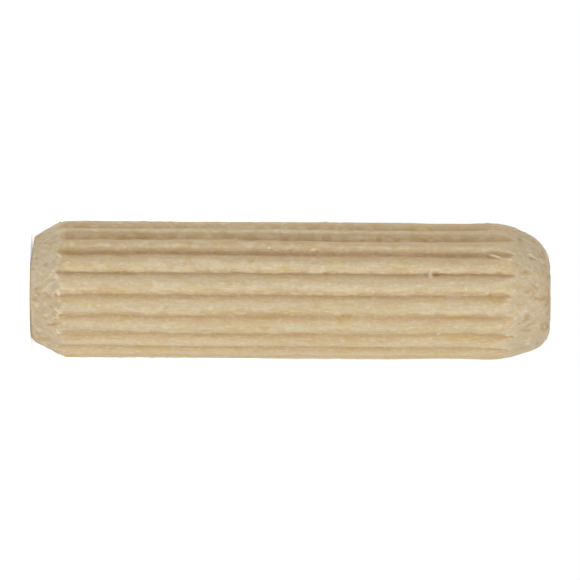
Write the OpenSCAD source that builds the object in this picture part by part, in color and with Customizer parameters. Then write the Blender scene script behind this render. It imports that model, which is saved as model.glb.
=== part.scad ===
// Fluted wooden dowel pin, standing on the flat face of its chamfered end.
// Millimetres, +Z along the pin, origin at the middle of the foot.

/* [Pin] */
// Diameter over the ridges, which is the hole it is driven into
pin_d = 8; // [7:0.5:12]
// Length from face to face
pin_l = 30.3; // [24:0.1:60]

/* [Flutes] */
// Number of grooves round the pin
flute_count = 18; // [10:1:22]
// Depth of a groove below the ridges
flute_depth = 0.32; // [0.2:0.01:0.4]
// Angle between the two flanks of a groove
flute_angle = 100; // [85:1:115]
// Rounding where a flank turns onto the ridge
ridge_r = 0.4; // [0.1:0.05:0.5]
// Direction of the first groove, from the X axis
flute_turn = 12.5; // [0:0.5:20]

/* [Foot, the chamfered end] */
// Step in from the ridges to the edge of the flat face
foot_inset = 1.65; // [1.4:0.05:2.2]
// Slope of the chamfer, from the pin's axis
foot_slope = 29; // [20:1:40]
// Rounding between the flat face and the chamfer
foot_edge_r = 1; // [0.3:0.05:1.4]
// Rounding between the chamfer and the ridges
foot_shoulder_r = 1.9; // [0.5:0.1:3]

/* [Nose, the domed end] */
// Step in from the ridges to the edge of the flat face
nose_inset = 2.25; // [2:0.05:2.6]
// Slope of the taper, from the pin's axis
nose_slope = 26; // [20:0.5:32]
// Rounding between the flat face and the taper
nose_edge_r = 1.65; // [0.8:0.05:1.7]
// Rounding between the taper and the ridges
nose_shoulder_r = 1.9; // [0.5:0.1:3]
// How far the nose was cut off centre
nose_runout = 0.1; // [0:0.02:0.2]
// Direction in which it sits off centre, from the X axis
nose_turn = 0; // [0:5:355]

/* [Hidden] */
$fn = 96;
pin_r = pin_d / 2;
flute_pitch = 360 / flute_count;
// Roundings are set this far past tangent, so that they meet what they round at a clean edge
clean_edge = 0.002;
// A taper starts this far outside the ridges, for the same reason
taper_start = 0.02;
// Cutting shapes reach this far past what they cut
over = 1;

// Where the centre of a groove's rounded shoulder lies: its distance from the axis, and its angle
// from the groove, which puts the flank against it
groove_root_r = pin_r - flute_depth;
flank_turn = flute_angle / 2;
shoulder_at_r = pin_r - ridge_r + clean_edge;
flank_gap = ridge_r - clean_edge;
shoulder_turn = flank_turn + asin((flank_gap - groove_root_r * sin(flank_turn)) / shoulder_at_r);

function polar(radius, angle) = [radius * cos(angle), radius * sin(angle)];
function mirrored(point) = [point[0], -point[1]];

// One groove on the X axis: two straight flanks, and a rounded shoulder onto each ridge
module groove() {
    root = [groove_root_r, 0];
    shoulder = polar(shoulder_at_r, shoulder_turn);
    flank_top = shoulder + polar(flank_gap, flank_turn - 90);
    outside = polar(pin_r + over, shoulder_turn);
    difference() {
        polygon([
            root, flank_top, shoulder, outside,
            mirrored(outside), mirrored(shoulder), mirrored(flank_top),
        ]);
        translate(shoulder) circle(r = ridge_r);
        translate(mirrored(shoulder)) circle(r = ridge_r);
    }
}

// The fluted rod, before its ends are tapered
module fluted_rod() {
    linear_extrude(height = pin_l)
        difference() {
            circle(r = pin_r);
            for (i = [0 : flute_count - 1])
                rotate(flute_turn + i * flute_pitch) groove();
        }
}

// Half section of what a tapered end leaves standing: flat face, rounded edge, slope, rounded shoulder
module taper_profile(outer_r, inset, slope, edge_r, shoulder_r, length) {
    edge = [outer_r - inset, edge_r];
    slope_start = edge + polar(edge_r - clean_edge, -slope);
    from_shoulder = polar(shoulder_r - clean_edge, -slope);
    shoulder_x = outer_r - shoulder_r;
    slope_end_x = shoulder_x + from_shoulder[0];
    slope_end_z = slope_start[1] + (slope_end_x - slope_start[0]) / tan(slope);
    shoulder_z = slope_end_z - from_shoulder[1];
    side_x = outer_r - clean_edge;
    polygon([
        [0, 0], [edge[0], 0], slope_start, [slope_end_x, slope_end_z],
        [side_x, shoulder_z], [side_x, length], [0, length],
    ]);
    translate(edge) outer_half_disc(edge_r);
    translate([shoulder_x, shoulder_z]) outer_half_disc(shoulder_r);
}

module outer_half_disc(radius) {
    intersection() {
        circle(r = radius);
        translate([0, -radius]) square([radius, 2 * radius]);
    }
}

module foot_envelope() {
    rotate_extrude()
        taper_profile(pin_r + taper_start, foot_inset + taper_start, foot_slope,
            foot_edge_r, foot_shoulder_r, pin_l + over);
}

module nose_envelope() {
    spread = nose_runout + taper_start;
    translate(concat(polar(nose_runout, nose_turn), pin_l))
        mirror([0, 0, 1])
            rotate_extrude()
                taper_profile(pin_r + spread, nose_inset + spread, nose_slope,
                    nose_edge_r, nose_shoulder_r, pin_l + over);
}

module dowel_pin() {
    color("burlywood")
        intersection() {
            fluted_rod();
            foot_envelope();
            nose_envelope();
        }
}

dowel_pin();
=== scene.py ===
import math

import bpy
import numpy as np
from mathutils import Matrix, Vector


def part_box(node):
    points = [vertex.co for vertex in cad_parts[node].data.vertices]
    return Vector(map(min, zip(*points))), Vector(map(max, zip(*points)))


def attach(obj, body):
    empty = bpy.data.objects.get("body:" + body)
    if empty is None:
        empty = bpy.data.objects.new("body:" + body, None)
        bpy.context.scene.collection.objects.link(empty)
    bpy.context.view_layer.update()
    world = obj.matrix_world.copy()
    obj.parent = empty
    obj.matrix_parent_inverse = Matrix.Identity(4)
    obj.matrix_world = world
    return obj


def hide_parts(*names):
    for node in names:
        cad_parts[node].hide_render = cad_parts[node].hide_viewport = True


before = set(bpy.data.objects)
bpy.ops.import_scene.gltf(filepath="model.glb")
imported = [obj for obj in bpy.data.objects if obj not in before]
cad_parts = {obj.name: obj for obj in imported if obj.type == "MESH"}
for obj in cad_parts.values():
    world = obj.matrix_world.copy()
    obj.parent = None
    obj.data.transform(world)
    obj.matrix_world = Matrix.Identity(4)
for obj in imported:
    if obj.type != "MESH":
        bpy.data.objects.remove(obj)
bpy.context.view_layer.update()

# ---------------------------------------------------------------------------------------------
# Camera: a long lens, level with the middle of the standing pin and turned on its side, so that
# the pin lies across the picture with its foot at the left.

mm = 0.001
camera_distance = 400 * mm
camera_turn = math.radians(-1.9)
camera_roll = math.radians(0.37)
picture_width = 33.925 * mm
picture_shift = Vector((-0.015 * mm, 0, -0.03 * mm))
sensor_width = 36.0

nearest_seen = 10 * mm
farthest_seen = 20000 * mm

pin_low, pin_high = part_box("dowel_pin")
aim = (pin_low + pin_high) / 2 + picture_shift
to_camera = Vector((math.sin(camera_turn), -math.cos(camera_turn), 0))
along_pin = Vector((0, 0, 1))
across_pin = to_camera.cross(along_pin)
picture_right = along_pin * math.cos(camera_roll) + across_pin * math.sin(camera_roll)
picture_up = across_pin * math.cos(camera_roll) - along_pin * math.sin(camera_roll)

lens = bpy.data.cameras.new("camera")
lens.sensor_width = sensor_width
lens.lens = sensor_width * camera_distance / picture_width
lens.clip_start = nearest_seen
lens.clip_end = farthest_seen
camera = bpy.data.objects.new("camera", lens)
facing = Matrix((picture_right, picture_up, to_camera)).transposed().to_4x4()
camera.matrix_world = Matrix.Translation(aim + to_camera * camera_distance) @ facing
bpy.context.collection.objects.link(camera)
bpy.context.scene.camera = camera
bpy.context.scene.view_settings.view_transform = "Standard"

# ---------------------------------------------------------------------------------------------
# Light: an even white surround, a lamp on one side that rakes across the flutes, and broad soft
# lamps on the other side, behind and overhead. Whatever looks straight at the surround sees white.

surround_level = 0.20
surround_white = (1.0, 1.0, 1.0, 1.0)


def add_node(tree, kind, label="", **settings):
    """A node of this kind. Settings are its properties, as in operation="MAXIMUM"."""
    node = tree.nodes.new(kind)
    node.label = label
    for name, value in settings.items():
        setattr(node, name, value)
    return node


def join(tree, source, target):
    """Links an output to an input, or sets the input to a plain value."""
    if isinstance(source, bpy.types.NodeSocket):
        tree.links.new(source, target)
    else:
        target.default_value = source


def maths(tree, operation, first, second):
    node = add_node(tree, "ShaderNodeMath", operation=operation)
    join(tree, first, node.inputs[0])
    join(tree, second, node.inputs[1])
    return node.outputs[0]


def seen_straight_on(tree):
    """1 for what the camera, a gloss or clear glass looks at, and 0 for what only gives light."""
    path = add_node(tree, "ShaderNodeLightPath")
    seen = maths(tree, "MAXIMUM", path.outputs["Is Camera Ray"], path.outputs["Is Glossy Ray"])
    return maths(tree, "MAXIMUM", seen, path.outputs["Is Transmission Ray"])


surround = bpy.data.worlds.new("surround")
surround.use_nodes = True
tree = surround.node_tree
tree.nodes.clear()
light_given = add_node(tree, "ShaderNodeBackground", "light given")
light_given.inputs["Color"].default_value = surround_white
light_given.inputs["Strength"].default_value = surround_level
plain_white = add_node(tree, "ShaderNodeBackground", "plain white")
plain_white.inputs["Color"].default_value = surround_white
either = add_node(tree, "ShaderNodeMixShader")
join(tree, seen_straight_on(tree), either.inputs["Fac"])
join(tree, light_given.outputs[0], either.inputs[1])
join(tree, plain_white.outputs[0], either.inputs[2])
join(tree, either.outputs[0], add_node(tree, "ShaderNodeOutputWorld").inputs["Surface"])
bpy.context.scene.world = surround


def broad_lamp(name, turn, height, level, spread):
    """A far, soft lamp. Its turn from the camera, height and spread are in degrees."""
    lamp = bpy.data.lights.new(name, "SUN")
    lamp.energy = level
    lamp.angle = math.radians(spread)
    turn, height = math.radians(turn) + camera_turn, math.radians(height)
    flat = math.cos(height)
    towards = Vector((math.sin(turn) * flat, -math.cos(turn) * flat, math.sin(height)))
    holder = bpy.data.objects.new(name, lamp)
    holder.rotation_mode = "QUATERNION"
    holder.rotation_quaternion = towards.to_track_quat("Z", "Y")
    bpy.context.collection.objects.link(holder)


broad_lamp("raking_lamp", turn=50, height=5, level=1.55, spread=20)
broad_lamp("side_lamp", turn=-55, height=12, level=1.34, spread=100)
broad_lamp("back_lamp", turn=172, height=12, level=1.4, spread=50)
broad_lamp("overhead_lamp", turn=0, height=68, level=1.0, spread=60)

# ---------------------------------------------------------------------------------------------
# Floor: a wide sheet of matt white board that the pin stands on. It looks plain white where
# nothing shades it, and keeps the pin's shadow.

board_half = 3.0
board_white = 0.9
board_lift = 0.50

board = bpy.data.meshes.new("floor")
board_corners = [(-1, -1, 0), (1, -1, 0), (1, 1, 0), (-1, 1, 0)]
board.from_pydata([Vector(corner) * board_half for corner in board_corners], [], [(0, 1, 2, 3)])
floor = bpy.data.objects.new("floor", board)
bpy.context.collection.objects.link(floor)

matt_board = bpy.data.materials.new("matt_white_board")
matt_board.use_nodes = True
tree = matt_board.node_tree
tree.nodes.clear()
paper = add_node(tree, "ShaderNodeBsdfDiffuse")
paper.inputs["Color"].default_value = (board_white, board_white, board_white, 1)
lift = add_node(tree, "ShaderNodeEmission", "plain white to the eye")
join(tree, maths(tree, "MULTIPLY", seen_straight_on(tree), board_lift), lift.inputs["Strength"])
both = add_node(tree, "ShaderNodeAddShader")
join(tree, paper.outputs[0], both.inputs[0])
join(tree, lift.outputs[0], both.inputs[1])
join(tree, both.outputs[0], add_node(tree, "ShaderNodeOutputMaterial").inputs["Surface"])
board.materials.append(matt_board)

# ---------------------------------------------------------------------------------------------
# The dowel pin: one turned rod of pale, close-grained hardwood. Eighteen grooves are rolled
# along it, which crushes the wood between the ridges, and its two ends are then cut to a taper,
# which leaves end grain, small chips and lifted fibres where the cutter crossed the grooves.

# The shape is worked out in millimetres, round the two main sizes of the solid that it stands for.
# Turns go round the pin from +X, the side that the nose leans to.
pin_r = round(pin_high.x / mm, 2)
pin_l = round(pin_high.z / mm, 2)
flute_count = 18
flute_depth = 0.408
flute_turn = math.radians(12.5)
flute_pitch = 2 * math.pi / flute_count

# Rings of the mesh lie closest where the ends are cut, and a little closer where the ridges are worn
# than along the rest. The points of a ring lie closer behind each crest.
steps_per_flute = 18
around = flute_count * steps_per_flute
bunched_at = 0.85
bunching = 0.3
foot_end_h = 3.2
nose_end_h = 4.2
worn_end_h = 9.3
worn_from_z = pin_l - worn_end_h
foot_ring_count = 37
plain_ring_count = 152
worn_ring_count = 46
nose_ring_count = 44

noise_seed = 18
lattice_size = 32
lattice = np.random.default_rng(noise_seed).uniform(-1, 1, (lattice_size, lattice_size, lattice_size))

# Each finer layer of noise is read this much further on, so that no two layers line up.
layer_shift_x = 7.7
layer_shift_z = 3.1


def noise(x, y, z):
    """Smooth random values from -1 to 1 that change over one unit of each coordinate."""
    x, y, z = np.broadcast_arrays(x, y, z)
    cells = [np.floor(c).astype(int) for c in (x, y, z)]
    shares = [c - cell for c, cell in zip((x, y, z), cells)]
    shares = [s * s * (3 - 2 * s) for s in shares]
    total = 0.0
    for corner in range(8):
        weight, place = 1.0, []
        for axis in range(3):
            far = (corner >> axis) & 1
            weight = weight * (shares[axis] if far else 1 - shares[axis])
            place.append((cells[axis] + far) % lattice_size)
        total = total + weight * lattice[tuple(place)]
    return total


def layered_noise(x, y, z, layers=3):
    """Noise with finer noise on it, each layer half as wide and half as strong."""
    total, strength = 0.0, 1.0
    for layer in range(layers):
        finer = 2.0**layer
        at_x = x * finer + layer_shift_x * layer
        at_z = z * finer + layer_shift_z * layer
        total = total + strength * noise(at_x, y * finer, at_z)
        strength *= 0.5
    return total


def smooth_step(low, high, value):
    """0 below low and 1 above high. The other way round where low is the higher of the two."""
    share = np.clip((value - low) / (high - low), 0, 1)
    return share * share * (3 - 2 * share)


def band(value, rising, falling, lost=1.0):
    """1 between a rising and a falling stretch. Lost is how much of it is gone past the second."""
    return smooth_step(*rising, value) * (1 - lost * smooth_step(*falling, value))


def lower_of(a, b, softness):
    """The lower of a and b, with the edge between them rounded."""
    share = np.clip(0.5 + 0.5 * (b - a) / softness, 0, 1)
    return b * (1 - share) + a * share - softness * share * (1 - share)


def short_way(turn):
    """The same turn, as one of at most half a turn either way."""
    return np.mod(turn + math.pi, 2 * math.pi) - math.pi


flute = np.arange(around) / steps_per_flute
flute = flute - bunching / (2 * math.pi) * np.sin(2 * math.pi * (flute - bunched_at))
line_turn = flute_turn + flute * flute_pitch

# The grooves were pressed in unevenly. Those on the side away from +X stand further round the pin
# than an even pitch would put them, and those on the side of +X less far round.
common_push = math.radians(0.6)
far_push = math.radians(5)
far_push_turn = math.radians(-172)
far_push_spread = math.radians(44)
off_push = short_way(line_turn - far_push_turn)
line_turn = line_turn + common_push + far_push * np.exp(-((off_push / far_push_spread) ** 2))
towards_x = np.cos(line_turn)
held_back_degrees = 0.45 * smooth_step(-0.5, 0.1, towards_x)
held_back_degrees = held_back_degrees + 2.1 * np.clip(towards_x - 0.3, 0, None)
line_turn = line_turn - np.radians(held_back_degrees)

# Full_side is 1 towards +X and -1 away from it, and near_side is 1 towards -Y. Some of the grooves
# away from +X carry deeper painted shade, and in some that painted shade spreads wide. Those a
# little towards +X are ragged.
full_side = np.cos(line_turn)
near_side = -np.sin(line_turn)
far_side = np.clip(-full_side, 0, 1)
far_groove_shade = band(-full_side, rising=(0.25, 0.55), falling=(0.62, 0.95), lost=0.9)
wide_groove_shade = band(-full_side, rising=(0.35, 0.80), falling=(0.83, 0.95), lost=0.9)
ragged = band(full_side, rising=(-0.15, 0.45), falling=(0.55, 0.95), lost=0.8)

# Each ridge leans: away from +X a long soft flank climbs to its crest and a short one drops behind
# it, and towards +X it is the other way round. The powers give the flanks their bend.
flute_share = flute % 1.0
crest_share = 0.569 - 0.171 * full_side - 0.022 * near_side
climbing = flute_share < crest_share
before_crest = np.clip((crest_share - flute_share) / crest_share, 0, 1)
past_crest = np.clip((flute_share - crest_share) / (1 - crest_share), 0, 1)
upper_bend = 1.87 - 0.70 * full_side
lower_bend = 1.18 + 0.38 * full_side + 0.35 * near_side**2
lower_reach = 1.10
upper_drop = before_crest**upper_bend
lower_drop = np.clip(past_crest * lower_reach, 0, 1) ** lower_bend
drop = np.where(climbing, upper_drop, lower_drop)

# Both ends were cut a little out of square: the side towards +X is fuller than the other, and the
# foot's face has a shallow facet on the other, which starts this far from the pin's axis.
facet_start = 1.2

# A taper starts this far outside the ridges.
taper_start = 0.03


class Taper:
    """A cut end: flat face, rounded edge, slope and rounded shoulder. Values go round the pin."""

    def __init__(self, corner_r, slope, edge_r, shoulder_r, facet=0.0):
        """Corner_r is where the slope and the face would meet if the edge were sharp. Slope is in
        degrees from the axis. Facet is how fast the face falls back on its side away from +X."""
        self.edge_r, self.shoulder_r, self.facet = edge_r, shoulder_r, facet
        self.outer_r = pin_r + taper_start
        self.slope = np.radians(slope)
        self.face_r = corner_r - edge_r * np.tan(math.pi / 4 - self.slope / 2)
        self.face_r = self.face_r + self.fall_back(self.face_r * full_side) * np.tan(self.slope)
        self.start_h = edge_r * (1 - np.sin(self.slope)) + self.fall_back(self.face_r * full_side)
        self.start_r = self.face_r + edge_r * np.cos(self.slope)
        slope_end_r = self.outer_r - shoulder_r * (1 - np.cos(self.slope))
        self.end_h = self.start_h + (slope_end_r - self.start_r) / np.tan(self.slope)
        self.shoulder_h = self.end_h + shoulder_r * np.sin(self.slope)

    def fall_back(self, place_x):
        return self.facet * np.clip(-place_x - facet_start, 0, None)

    def radius(self, h):
        """Radius at a height h above the face, anywhere past the rounded edge."""
        sloped = self.start_r + (h - self.start_h) * np.tan(self.slope)
        below = np.clip(self.shoulder_h - h, 0, self.shoulder_r)
        rounded = self.outer_r - self.shoulder_r + np.sqrt(self.shoulder_r**2 - below**2)
        return np.where(h < self.end_h, sloped, rounded)


foot = Taper(
    corner_r=2.982 + 0.018 * full_side,
    slope=28.9 - 2.6 * full_side,
    edge_r=0.20 + 0.50 * np.clip(full_side, 0, 1) ** 2,
    shoulder_r=1.65 - 0.65 * full_side,
    facet=0.11,
)
nose = Taper(
    corner_r=2.885 + 0.165 * full_side,
    slope=23.5 - 3.5 * full_side,
    edge_r=1.75 - 0.40 * full_side,
    shoulder_r=6.2 + 2.1 * full_side,
)

foot_rings = np.linspace(foot.start_h, foot_end_h, foot_ring_count)[:-1]
plain_rings = np.linspace(foot_end_h, worn_from_z, plain_ring_count)[:-1]
worn_rings = np.linspace(worn_from_z, pin_l - nose_end_h, worn_ring_count)[:-1]
nose_rings = pin_l - np.linspace(nose_end_h, nose.start_h, nose_ring_count)
level_rings = np.repeat(np.concatenate([plain_rings, worn_rings])[:, None], around, axis=1)
z = np.concatenate([foot_rings, level_rings, nose_rings])
nose_h = pin_l - z


def on_skin(flutes, length, seed, layers=1):
    """Noise over the pin's side, so many flutes wide and so many millimetres long."""
    size = flute_count / (2 * math.pi * flutes)
    across_x = size * np.cos(line_turn[None, :]) + seed
    across_y = size * np.sin(line_turn[None, :]) + 2 * seed
    return layered_noise(across_x, across_y, z / length, layers)


# The grooves wander, and are pressed in more deeply in some places than in others, most of all the
# ragged ones.
slow_wander = 0.055 * on_skin(flutes=1.0, length=4.0, seed=1.3)
quick_wander = 0.042 * on_skin(flutes=0.8, length=0.75, seed=4.1)
wander = slow_wander + quick_wander + ragged * (slow_wander - slow_wander.mean(axis=0))
wander = wander + 0.4 * ragged * (quick_wander - quick_wander.mean(axis=0))
turn = line_turn + wander / pin_r
slow_uneven = 0.14 * on_skin(flutes=1.0, length=5.0, seed=9.2)
quick_uneven = 0.07 * on_skin(flutes=1.0, length=0.9, seed=2.7)
depth = flute_depth * (1 - 0.09 * near_side)
depth = depth * (1 + (1 + 0.8 * ragged) * (slow_uneven + quick_uneven))

# At both ends they run out in torn wood, where the cutter has crushed their mouths shut. At the
# nose those on the side of +X fade out sooner and more gently.
torn = on_skin(flutes=0.15, length=0.3, seed=8.8, layers=2)
mouth = 1.42 + 0.22 * on_skin(flutes=0.7, length=40.0, seed=5.2) + 0.15 * torn
depth = depth * smooth_step(mouth - 0.30, mouth + 0.50, z)
long_ends = smooth_step(-0.30, 0.05, full_side)
runs_out = 1.35 + 0.35 * full_side - 0.30 * long_ends
runs_out = runs_out + 0.30 * on_skin(flutes=0.7, length=40.0, seed=7.4) + 0.20 * torn
fades_over = 1.55 + 0.60 * long_ends + 0.20 * full_side
depth = depth * smooth_step(runs_out, runs_out + fades_over, nose_h)

# The ridges stand a little proud on the far side, and are rubbed slimmer before the nose.
slimmer = band(nose_h, rising=(3.5, 5.3), falling=(6.3, 9.8))
crest_r = pin_r + 0.003 + 0.033 * far_side - 0.045 * slimmer
crest_r = crest_r + 0.028 * on_skin(flutes=2.0, length=10.0, seed=6.4, layers=2)
fluted_r = crest_r - depth * drop
cut_r = np.minimum(foot.radius(z), nose.radius(nose_h))
past_cut = fluted_r - cut_r
r = lower_of(fluted_r, cut_r, softness=0.03)
x, y = r * np.cos(turn), r * np.sin(turn)


def in_wood(across, along, seed, layers=1):
    """Noise in the wood of the side, so many millimetres wide and long."""
    return layered_noise(x / across + seed, y / across - seed, z / along + 2 * seed, layers)


# End grain shows where the taper was cut. On the nose it is rubbed away up to a ragged line.
edge_of_cut = past_cut + 0.09 * in_wood(across=0.3, along=0.4, seed=0.0, layers=3)
end_grain = smooth_step(-0.03, 0.07, edge_of_cut)
bare_to_h = 1.7 - 0.3 * torn
rubbed_from_h = 3.1 - 0.3 * torn
end_grain = end_grain * (1 - smooth_step(bare_to_h, rubbed_from_h, nose_h) * (z > worn_from_z))
side_grain = 1 - end_grain

# One shoulder of every ridge is frayed: torn fibres stand on it and hang over the groove. It is the
# shoulder that the raking lamp lights, and its pale colour is partly torn wood and partly a painted
# highlight. There is less of it in the grooves away from +X that carry deeper painted shade.
shoulder = band(past_crest, rising=(0.05, 0.40), falling=(0.80, 0.97))
frays = in_wood(across=0.35, along=0.50, seed=1.7, layers=2)
frayed_and_highlit = shoulder * smooth_step(-0.15, 0.35, frays) * side_grain
frayed_and_highlit = frayed_and_highlit * (1 - 0.8 * far_groove_shade)

# Raised fibres run along the sides.
long_fibres = in_wood(across=0.16, along=0.9, seed=2.9, layers=2)
short_fibres = in_wood(across=0.15, along=0.30, seed=6.1, layers=2)
fibres = 0.5 * long_fibres + 0.5 * short_fibres

# Bars left by the cutter lie crosswise over the cut ends, leaning one way or the other, and soft
# mottles lie between them.
bars_end_to_end = 32
bars_side_by_side = 96
round_pin = turn / (2 * math.pi)
up_pin = z / (2 * math.pi * pin_r)
rising_line = up_pin + round_pin
falling_line = up_pin - round_pin
leaning_up = noise(bars_end_to_end * rising_line, bars_side_by_side * falling_line, 0)
leaning_down = noise(bars_side_by_side * rising_line, bars_end_to_end * falling_line, 3)
leans_up = in_wood(across=0.9, along=0.9, seed=3.3) > 0.6 * full_side
near_nose = smooth_step(4.3, 2.8, nose_h)
foot_mottles = (1 - near_nose) * 0.6 * in_wood(across=0.30, along=0.34, seed=4.4, layers=2)
nose_mottles = near_nose * 0.9 * in_wood(across=0.38, along=0.40, seed=4.4, layers=2)
bars = np.where(leans_up, leaning_up, leaning_down)
scores = (0.8 - 0.35 * near_nose) * bars + (foot_mottles + nose_mottles)

# A burr of torn fibres stands where the ridges come within a hair of the taper. It is lower along
# the middle of the pin, where the rollers have pressed it flat.
burr_width = 0.06
burr = np.exp(-((past_cut / burr_width) ** 2))
burr = burr * smooth_step(0.1, 0.5, in_wood(across=0.22, along=0.22, seed=5.5))
rolled_flat = smooth_step(2.0, 3.0, z) * smooth_step(3.3, 4.8, nose_h)

fibre_relief = 0.009
score_relief = 0.034
fray_lift = 0.022
burr_lift = 0.035
r = r + fibre_relief * fibres * side_grain * (1 + frayed_and_highlit) * (1 - 0.4 * far_side)
r = r + score_relief * scores * end_grain + fray_lift * frayed_and_highlit
r = r + burr_lift * burr * (1 - 0.7 * rolled_flat)

# What is raised is paler and what is sunk darker: a painted highlight on the raised grain and painted
# shade in the sunk, over the grain's own colour. Near the nose the high places are less marked than
# the low ones.
marked = np.where(scores > 0, 1 - 0.35 * near_nose, 1 + 0.25 * near_nose)
relief_light_shade = fibres * side_grain + scores * marked * end_grain

# A chip or a pit is whole up to one share of its half width, and gone past the other.
whole_within = 0.5
gone_beyond = 1.1
pit_painted_shade = 1.6


def patch(height, side, length, width, slant=0.0):
    """1 on a small oval and 0 off it. Side is in degrees round the pin, slant in degrees from it."""
    along = z - height
    across = short_way(turn - math.radians(side)) * pin_r
    lean = math.radians(slant)
    u = (along * math.cos(lean) + across * math.sin(lean)) / (length / 2)
    v = (across * math.cos(lean) - along * math.sin(lean)) / (width / 2)
    return 1 - smooth_step(whole_within, gone_beyond, np.hypot(u, v))


def lay_chip(height, side, length, width, slant=0.0, top=0.0, lift=0.05, pale=1.0):
    """A torn chip of wood. It lifts the surface, and bridges whatever lies lower than its top.
    Its pale colour is partly fresh torn wood and partly a painted highlight.
    """
    chip = patch(height, side, length, width, slant)
    r[:] = r + chip * np.maximum(lift, top - r)
    frayed_and_highlit[:] = np.maximum(frayed_and_highlit, pale * chip)
    relief_light_shade[:] = relief_light_shade + pale * chip


def press_pit(height, side, length, width, slant=0.0, deep=0.08):
    """A pore or a place where a chip came away, darkened with painted shade."""
    pit = patch(height, side, length, width, slant)
    r[:] = r - deep * pit
    relief_light_shade[:] = relief_light_shade - pit_painted_shade * pit


# Chips left across the mouths of the grooves where the end cutters met them. The limits are for
# degrees from the groove, distance from the end, length, width and slant.
chip_seed = 5
chip_rng = np.random.default_rng(chip_seed)
foot_chip_limits = ((-5, 1.45, 0.25, 0.12, -60), (6, 1.85, 0.55, 0.20, 60))
nose_chip_limits = ((-6, 1.4, 0.3, 0.14, -35), (7, 2.6, 0.7, 0.24, 35))
nose_chips = 2
for groove in range(flute_count):
    groove_side = math.degrees(flute_turn + groove * flute_pitch)
    foot_chips = int(chip_rng.integers(1, 4))
    for chip in range(foot_chips):
        off, up, length, width, slant = chip_rng.uniform(*foot_chip_limits)
        lay_chip(up, groove_side + off, length, width, slant, lift=0.05)
    for chip in range(nose_chips):
        off, down, length, width, slant = chip_rng.uniform(*nose_chip_limits)
        lay_chip(pin_l - down, groove_side + off, length, width, slant, lift=0.018, pale=0.22)

# Crumbs of torn wood hang along the frayed shoulders, each beside the small pit that it left. The
# limits are for degrees from the groove and height, and then for length, width and slant.
crumb_count = 55
crumb_place_limits = ((-4.5, 2.5), (-1.0, pin_l - 2.3))
crumb_size_limits = ((0.16, 0.10, -20), (0.45, 0.17, 20))
for crumb in range(crumb_count):
    groove = chip_rng.integers(flute_count)
    off, up = chip_rng.uniform(*crumb_place_limits)
    length, width, slant = chip_rng.uniform(*crumb_size_limits)
    side = math.degrees(flute_turn + groove * flute_pitch) + off
    lay_chip(up, side, length, width, slant, lift=0.03)
    press_pit(up + 0.6 * length, side + 1.5, 0.6 * length, width, deep=0.03)

# A splinter lies across a groove near the nose. Heights there are measured down from the nose.
lay_chip(height=pin_l - 3.30, side=-123.9, length=1.05, width=0.23, slant=19, top=3.95, lift=0.03)
lay_chip(height=pin_l - 2.55, side=-120.5, length=0.80, width=0.16, slant=10, top=3.88, lift=0.02)

# A ridge below it is nicked, and the wood beside the nick bridges the groove.
press_pit(height=pin_l - 6.74, side=-106.6, length=0.46, width=0.22, deep=0.07)
lay_chip(height=pin_l - 7.06, side=-107.3, length=0.80, width=0.26, slant=90, top=3.92, lift=0.03)

# A long loose flake, with a bar across its lower end.
lay_chip(height=pin_l - 3.45, side=-92.9, length=3.10, width=0.60, slant=2, lift=0.030, pale=0.35)
lay_chip(height=pin_l - 4.95, side=-93.5, length=0.60, width=0.16, slant=84, lift=0.045)

# Small pits and chips on the nose and below it.
press_pit(height=pin_l - 4.25, side=-33.4, length=0.24, width=0.20)
lay_chip(height=pin_l - 3.88, side=-33.4, length=0.44, width=0.22, lift=0.06)
press_pit(height=pin_l - 2.54, side=-43.6, length=0.20, width=0.18)
press_pit(height=pin_l - 1.00, side=-142.8, length=0.40, width=0.18, deep=0.10)
lay_chip(height=pin_l - 1.17, side=-131.5, length=0.40, width=0.20, lift=0.05)
press_pit(height=pin_l - 1.13, side=-127.7, length=0.50, width=0.15, deep=0.10)
press_pit(height=pin_l - 1.60, side=-63.6, length=0.26, width=0.20)

# Lifted chips and bars on the foot's taper, and one shallow score.
lay_chip(height=1.84, side=-95.1, length=0.38, width=0.42, lift=0.04)
lay_chip(height=1.69, side=-88.1, length=0.42, width=0.20, slant=70, lift=0.05, pale=2.0)
lay_chip(height=1.62, side=-73.0, length=0.50, width=0.16, slant=40, lift=0.06, pale=2.0)
lay_chip(height=1.74, side=-69.8, length=0.50, width=0.16, slant=-40, lift=0.06, pale=2.0)
lay_chip(height=1.66, side=-51.5, length=0.55, width=0.20, slant=72, lift=0.07, pale=2.0)
lay_chip(height=1.68, side=-121.7, length=0.50, width=0.20, slant=35, lift=0.06, pale=2.0)
lay_chip(height=1.43, side=-109.6, length=0.55, width=0.20, slant=-45, lift=0.04)
lay_chip(height=0.95, side=-100.3, length=1.40, width=0.18, slant=-40, lift=0.025)
press_pit(height=1.46, side=-58.4, length=1.05, width=0.22, slant=-28, deep=0.05)

# The mesh: rings from the foot up, each stitched to the next, and then the two ends.
verts = []
faces = []


def add_ring(ring_r, ring_turn, ring_z):
    first = len(verts)
    xs, ys = ring_r * np.cos(ring_turn), ring_r * np.sin(ring_turn)
    zs = np.broadcast_to(ring_z, xs.shape)
    verts.extend(zip(xs.tolist(), ys.tolist(), zs.tolist()))
    return np.arange(first, first + len(xs))


def add_faces(*corners):
    faces.extend(zip(*[c.tolist() for c in corners]))


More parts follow.
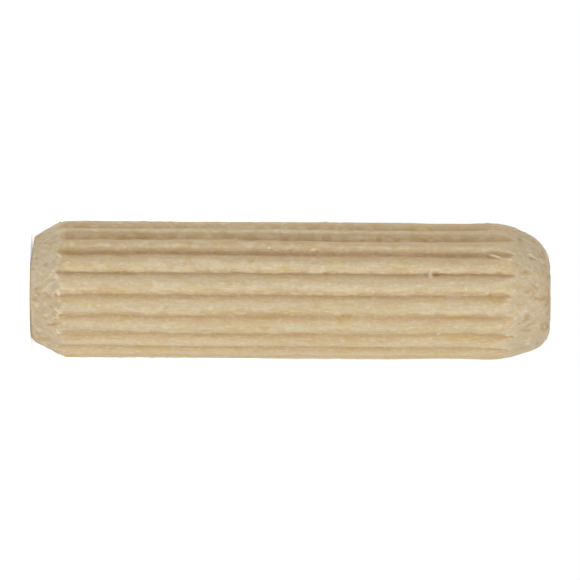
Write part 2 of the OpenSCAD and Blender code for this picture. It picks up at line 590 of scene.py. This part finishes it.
def stitch(lower, upper):
    """Faces between two rings, of which one may have half as many points as the other."""
    if len(lower) == len(upper):
        add_faces(lower, np.roll(lower, -1), np.roll(upper, -1), upper)
    elif len(lower) > len(upper):
        first, middle, last = lower[0::2], lower[1::2], np.roll(lower[0::2], -1)
        add_faces(first, middle, upper)
        add_faces(middle, np.roll(upper, -1), upper)
        add_faces(middle, last, np.roll(upper, -1))
    else:
        first, middle, last = upper[0::2], upper[1::2], np.roll(upper[0::2], -1)
        add_faces(middle, first, lower)
        add_faces(np.roll(lower, -1), middle, lower)
        add_faces(last, middle, np.roll(lower, -1))


rings = [add_ring(*ring) for ring in zip(r, turn, z)]
for below, above in zip(rings, rings[1:]):
    stitch(below, above)
side_count = len(verts)
end_relief_light_shade = []
end_flat = []

# The rounded edge and the flat face of an end take this many rings each. The rings are thinned out
# to half their points twice, part of the way round the edge and part of the way over the face. On
# the face the grain above this level is sunk in, and the rest lies flat.
edge_steps = 16
face_steps = 16
thinned_at = (5, edge_steps + 7)
grain_level = 0.2


def close_end(taper, edge_ring, edge_at_r, edge_turn, face_z, inward, grain_size, sunk):
    """The rounded edge and the flat face. Inward is 1 where the pin lies above the face, or -1.
    Sunk is taken from the marks of the paler grain and added to those of the darker."""
    outer = edge_ring
    slope_from_level = math.pi / 2 - taper.slope
    off_line = edge_at_r - taper.start_r
    every = 1
    for step in range(1, edge_steps + face_steps):
        if step in thinned_at:
            every *= 2
        along = max(0.0, 1 - step / edge_steps)
        bend = slope_from_level * along
        ring_r = taper.face_r + taper.edge_r * np.sin(bend) + off_line * along
        if step > edge_steps:
            ring_r = taper.face_r * (1 - (step - edge_steps) / face_steps)
        h = taper.edge_r * (1 - np.cos(bend))
        h = h + taper.fall_back(np.minimum(ring_r, taper.face_r) * full_side)
        px, py = ring_r * np.cos(edge_turn), ring_r * np.sin(edge_turn)
        grain = layered_noise(px / grain_size, py / grain_size, h / grain_size + face_z)
        end_relief_light_shade.append((grain - sunk * np.abs(grain))[::every])
        end_flat.append(np.full(around // every, 1 - along))
        ring_r = ring_r + score_relief * grain * np.sin(bend)
        h = np.maximum(h + score_relief * (grain - grain_level) * np.cos(bend), 0)
        ring = add_ring(ring_r[::every], edge_turn[::every], (face_z + inward * h)[::every])
        stitch(*((ring, outer) if inward > 0 else (outer, ring)))
        outer = ring
    middle = len(verts)
    verts.append((0.0, 0.0, face_z))
    end_relief_light_shade.append(np.zeros(1))
    end_flat.append(np.ones(1))
    nearby = [outer, np.roll(outer, -1), np.full(len(outer), middle)]
    add_faces(*(nearby[::-1] if inward > 0 else nearby))


close_end(foot, rings[0], r[0], turn[0], 0.0, 1, grain_size=0.20, sunk=0.0)
close_end(nose, rings[-1], r[-1], turn[-1], pin_l, -1, grain_size=0.30, sunk=0.6)

pin_mesh = bpy.data.meshes.new("dowel_pin_wood")
pin_mesh.from_pydata([(vx * mm, vy * mm, vz * mm) for vx, vy, vz in verts], [], faces)
pin_mesh.shade_smooth()


def mark_points(name, side_values, end_values):
    values = np.concatenate([np.ravel(side_values), end_values]).astype(np.float32)
    pin_mesh.attributes.new(name, "FLOAT", "POINT").data.foreach_set("value", values)


# The grooves are darker, partly the crushed wood's own colour and partly painted shade in the
# recess, and this fades out at the nose. The flanks carry painted shade of their own, most on the
# flank that faces away from the raking lamp. The powers say how far up a flank a mark reaches.
off_nose = 1 - 0.9 * smooth_step(5.3, 2.8, nose_h)
crush_and_shade_on_upper = upper_drop**2.2
crush_and_shade_on_lower = lower_drop ** (1.3 - 0.80 * wide_groove_shade * off_nose)
in_groove = np.where(climbing, crush_and_shade_on_upper, crush_and_shade_on_lower)
in_groove = in_groove * (0.70 + 0.17 * far_groove_shade * off_nose)
in_groove = in_groove * (1 + 0.22 * on_skin(flutes=0.7, length=3.5, seed=10.8))
in_groove = in_groove * smooth_step(1.4, 3.2, nose_h)
on_flank = np.where(climbing, upper_drop**0.65, lower_drop**3.0)

end_count = len(verts) - side_count
off_side = np.zeros(end_count)
mark_points("end_grain", end_grain, np.ones(end_count))
mark_points("groove", in_groove * side_grain, off_side)
mark_points("flank", on_flank * side_grain, off_side)
mark_points("frayed_and_highlit", np.maximum(frayed_and_highlit, burr), off_side)
mark_points("relief_light_shade", relief_light_shade, np.concatenate(end_relief_light_shade))
mark_points("flat_face", np.zeros_like(z), np.concatenate(end_flat))

pin = bpy.data.objects.new("dowel_pin_wood", pin_mesh)
bpy.context.collection.objects.link(pin)

# Colours of the wood, from the burnished ridges to the grooves and the cut ends. Some of them are
# painted light or shade, as said beside them.
ridge_wood = (0.650, 0.543, 0.354, 1)
# Painted shade on the flanks: darker and redder than the ridges.
flank_wood = (0.672, 0.513, 0.316, 1)
# Partly the crushed wood's own darker colour and partly painted shade in the grooves.
crushed_and_shaded_groove_wood = (0.508, 0.366, 0.208, 1)
# Partly pale torn wood and partly a painted highlight on the lit shoulders.
frayed_and_highlit_wood = (0.720, 0.622, 0.415, 1)
foot_wood = (0.628, 0.522, 0.370, 1)
# Painted light on the foot's side away from +X.
far_foot_painted_light = (0.720, 0.625, 0.452, 1)
# End grain of the nose, darkened further with painted shade.
nose_wood_and_shade = (0.562, 0.463, 0.316, 1)
# Painted highlight on raised scores and painted shade in sunk ones, on the cut ends.
score_wood_highlit = (0.700, 0.605, 0.430, 1)
sunk_wood_shade = (0.520, 0.400, 0.265, 1)
# Painted light round the foot's rim, where the floor shades it.
rim_painted_light = (0.860, 0.760, 0.590, 1)

# Tints that the wood is multiplied by.
late_wood_tint = (0.88, 0.78, 0.66, 1)
open_pore_tint = (0.80, 0.68, 0.54, 1)
# Painted shade of the side away from +X, and a painted tint of the lit flanks towards it.
rosy_shaded_side_tint = (0.985, 0.945, 0.925, 1)
golden_lit_side_tint = (1.0, 0.99, 0.94, 1)
grain_band_tint = (0.93, 0.88, 0.80, 1)
warm_patch_tint = (0.98, 0.93, 0.70, 1)
rosy_patch_tint = (1.0, 0.91, 0.90, 1)
streak_tint = (0.90, 0.84, 0.74, 1)
# Painted shade in sunk grain and pits.
sunk_shade_tint = (0.87, 0.77, 0.62, 1)

# Pale colours that are screened over it: the crumbs' own pale wood, and a painted highlight on what
# is raised.
crumb_light = (1.0, 0.93, 0.76, 1)
raised_painted_highlight = (1.0, 0.94, 0.80, 1)

wood_gloss = 0.25
least_roughness = 0.68
streak_roughness = 0.2
fine_fibre_bump = 0.45
fine_fibre_height = 0.03 * mm

wood = bpy.data.materials.new("pale_hardwood")
wood.use_nodes = True
tree = wood.node_tree
shader = tree.nodes["Principled BSDF"]
shader.inputs["Specular IOR Level"].default_value = wood_gloss


def mixed(factor, first, second, blend="MIX"):
    node = add_node(tree, "ShaderNodeMix", data_type="RGBA", blend_type=blend)
    join(tree, factor, node.inputs["Factor"])
    join(tree, first, node.inputs["A"])
    join(tree, second, node.inputs["B"])
    return node.outputs["Result"]


def both_of(first, second):
    return maths(tree, "MULTIPLY", first, second)


def wood_noise(across, along, detail, label, shift=0.0):
    """Noise in the wood itself, with lengths in millimetres across and along the grain."""
    place = add_node(tree, "ShaderNodeMapping", label)
    place.inputs["Scale"].default_value = (1 / (across * mm), 1 / (across * mm), 1 / (along * mm))
    place.inputs["Location"].default_value = (shift, 2 * shift, 3 * shift)
    join(tree, spot.outputs["Object"], place.inputs["Vector"])
    pattern = add_node(tree, "ShaderNodeTexNoise", label, noise_dimensions="3D")
    join(tree, place.outputs[0], pattern.inputs["Vector"])
    pattern.inputs["Scale"].default_value = 1.0
    pattern.inputs["Detail"].default_value = detail
    return pattern.outputs["Fac"]


def ramp(value, low, high, to_low=0.0, to_high=1.0):
    """To_low at low and beyond it, to_high at high and beyond it, and smooth between them."""
    node = add_node(tree, "ShaderNodeMapRange", interpolation_type="SMOOTHSTEP")
    for name, number in zip(("From Min", "From Max", "To Min", "To Max"), (low, high, to_low, to_high)):
        node.inputs[name].default_value = number
    join(tree, value, node.inputs["Value"])
    return node.outputs["Result"]


def mark(name):
    return add_node(tree, "ShaderNodeAttribute", attribute_name=name).outputs["Fac"]


spot = add_node(tree, "ShaderNodeTexCoord")
groove_crush_and_shade_mark = mark("groove")
flank_mark = mark("flank")
end_mark = mark("end_grain")
fray_highlight_mark = mark("frayed_and_highlit")
relief_light_shade_mark = mark("relief_light_shade")
face_mark = mark("flat_face")
split = add_node(tree, "ShaderNodeSeparateXYZ", "side and height")
join(tree, spot.outputs["Object"], split.inputs[0])
towards_full_side = split.outputs["X"]
height = split.outputs["Z"]

# Painted shade on the flanks.
side_wood = mixed(flank_mark, ridge_wood, flank_wood)
# Painted shade in the grooves, with the crushed wood's own darker colour.
side_wood = mixed(groove_crush_and_shade_mark, side_wood, crushed_and_shaded_groove_wood)

# The cut ends carry the cutter's scores. They are darker at the nose, partly the end grain and partly
# painted shade of the top that the overhead lamp lights, and paler at the foot on the side away from
# +X and round the rim, where painted light stands against the shade there.
cut_wood = mixed(ramp(towards_full_side, 1.0 * mm, -2.4 * mm), foot_wood, far_foot_painted_light)
cut_wood = mixed(ramp(height, (pin_l - 10.3) * mm, (pin_l - 3.3) * mm), cut_wood, nose_wood_and_shade)
# Painted highlight on raised scores and painted shade in sunk ones.
cut_wood = mixed(ramp(relief_light_shade_mark, 0.05, 1.0, to_high=0.45), cut_wood, score_wood_highlit)
cut_wood = mixed(ramp(relief_light_shade_mark, -0.05, -1.0, to_high=0.4), cut_wood, sunk_wood_shade)
cut_wood = mixed(ramp(height, 0.5 * mm, 0.05 * mm, to_high=0.35), cut_wood, rim_painted_light)

# The flat faces show the growth rings of the tree, whose middle lies off to one side, and open
# pores. At a scale of 1 a wave texture has this many rings to every two pi metres.
rings_to_scale = 20
ring_spacing = 1.2 * mm
ring_waver = 1.2
ring_waver_detail = 3.0
from_tree_middle = (26 * mm, -9 * mm, 0)
ring_place = add_node(tree, "ShaderNodeMapping", "middle of the tree")
ring_place.inputs["Location"].default_value = from_tree_middle
join(tree, spot.outputs["Object"], ring_place.inputs["Vector"])
rings_seen = add_node(tree, "ShaderNodeTexWave", "growth rings", wave_type="RINGS", rings_direction="Z")
rings_seen.wave_profile = "SAW"
rings_seen.inputs["Scale"].default_value = 2 * math.pi / (rings_to_scale * ring_spacing)
rings_seen.inputs["Distortion"].default_value = ring_waver
rings_seen.inputs["Detail"].default_value = ring_waver_detail
join(tree, ring_place.outputs[0], rings_seen.inputs["Vector"])
late_wood = both_of(ramp(rings_seen.outputs["Fac"], 0.45, 1.0, to_high=0.8), face_mark)
cut_wood = mixed(late_wood, cut_wood, late_wood_tint, "MULTIPLY")
pores = wood_noise(across=0.07, along=0.5, detail=2.0, label="open pores", shift=21.0)
open_pores = both_of(ramp(pores, 0.55, 0.68, to_high=0.8), face_mark)
cut_wood = mixed(open_pores, cut_wood, open_pore_tint, "MULTIPLY")

# The sides are rosier and a little darker away from +X, painted shade of the side away from the
# raking lamp, and golden on the flanks towards it, a painted tint of the lit side.
rosy_shaded_side = ramp(towards_full_side, -0.8 * mm, -2.6 * mm)
side_wood = mixed(rosy_shaded_side, side_wood, rosy_shaded_side_tint, "MULTIPLY")
golden_flank = both_of(ramp(towards_full_side, 0.5 * mm, 2.5 * mm), flank_mark)
side_wood = mixed(golden_flank, side_wood, golden_lit_side_tint, "MULTIPLY")
colour = mixed(end_mark, side_wood, cut_wood)
# Painted highlight, with the paler torn wood, on the frayed shoulders, the chips and the burr.
colour = mixed(both_of(fray_highlight_mark, 0.6), colour, frayed_and_highlit_wood)

# Bands, patches, streaks and crumbs lie over side and ends alike. The streaks and the crumbs are
# fainter away from +X.
grain_band = wood_noise(across=0.45, along=5.0, detail=2.0, label="grain bands", shift=15.0)
colour = mixed(ramp(grain_band, 0.42, 0.62, to_high=0.5), colour, grain_band_tint, "MULTIPLY")
warm = wood_noise(across=0.5, along=1.6, detail=2.0, label="warm patches")
colour = mixed(ramp(warm, 0.50, 0.68, to_high=0.6), colour, warm_patch_tint, "MULTIPLY")
pink = wood_noise(across=0.5, along=0.9, detail=2.0, label="rosy patches", shift=3.0)
colour = mixed(ramp(pink, 0.50, 0.66, to_high=0.5), colour, rosy_patch_tint, "MULTIPLY")
plainer_side = ramp(towards_full_side, -1.5 * mm, -3.6 * mm, to_low=1.0, to_high=0.5)
streak = wood_noise(across=0.10, along=0.8, detail=4.0, label="fibre streaks", shift=6.0)
streaked = both_of(ramp(streak, 0.35, 0.60, to_low=0.46, to_high=0.0), plainer_side)
colour = mixed(streaked, colour, streak_tint, "MULTIPLY")
crumbs = wood_noise(across=0.13, along=0.26, detail=3.0, label="crumbs", shift=9.0)
crumbed = both_of(ramp(crumbs, 0.48, 0.72, to_high=0.15), plainer_side)
colour = mixed(crumbed, colour, crumb_light, "SCREEN")
# Painted highlight on raised grain and chips, and painted shade in sunk grain and pits.
colour = mixed(ramp(relief_light_shade_mark, 0.15, 1.2, to_high=0.20), colour, raised_painted_highlight, "SCREEN")
colour = mixed(ramp(relief_light_shade_mark, -0.15, -1.3, to_high=0.8), colour, sunk_shade_tint, "MULTIPLY")
join(tree, colour, shader.inputs["Base Color"])

rough = maths(tree, "ADD", least_roughness, both_of(streak, streak_roughness))
join(tree, rough, shader.inputs["Roughness"])
fine = wood_noise(across=0.06, along=0.35, detail=4.0, label="fine fibres", shift=12.0)
bump = add_node(tree, "ShaderNodeBump")
bump.inputs["Strength"].default_value = fine_fibre_bump
bump.inputs["Distance"].default_value = fine_fibre_height
join(tree, fine, bump.inputs["Height"])
join(tree, bump.outputs["Normal"], shader.inputs["Normal"])
pin_mesh.materials.append(wood)

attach(pin, "root")
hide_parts("dowel_pin")
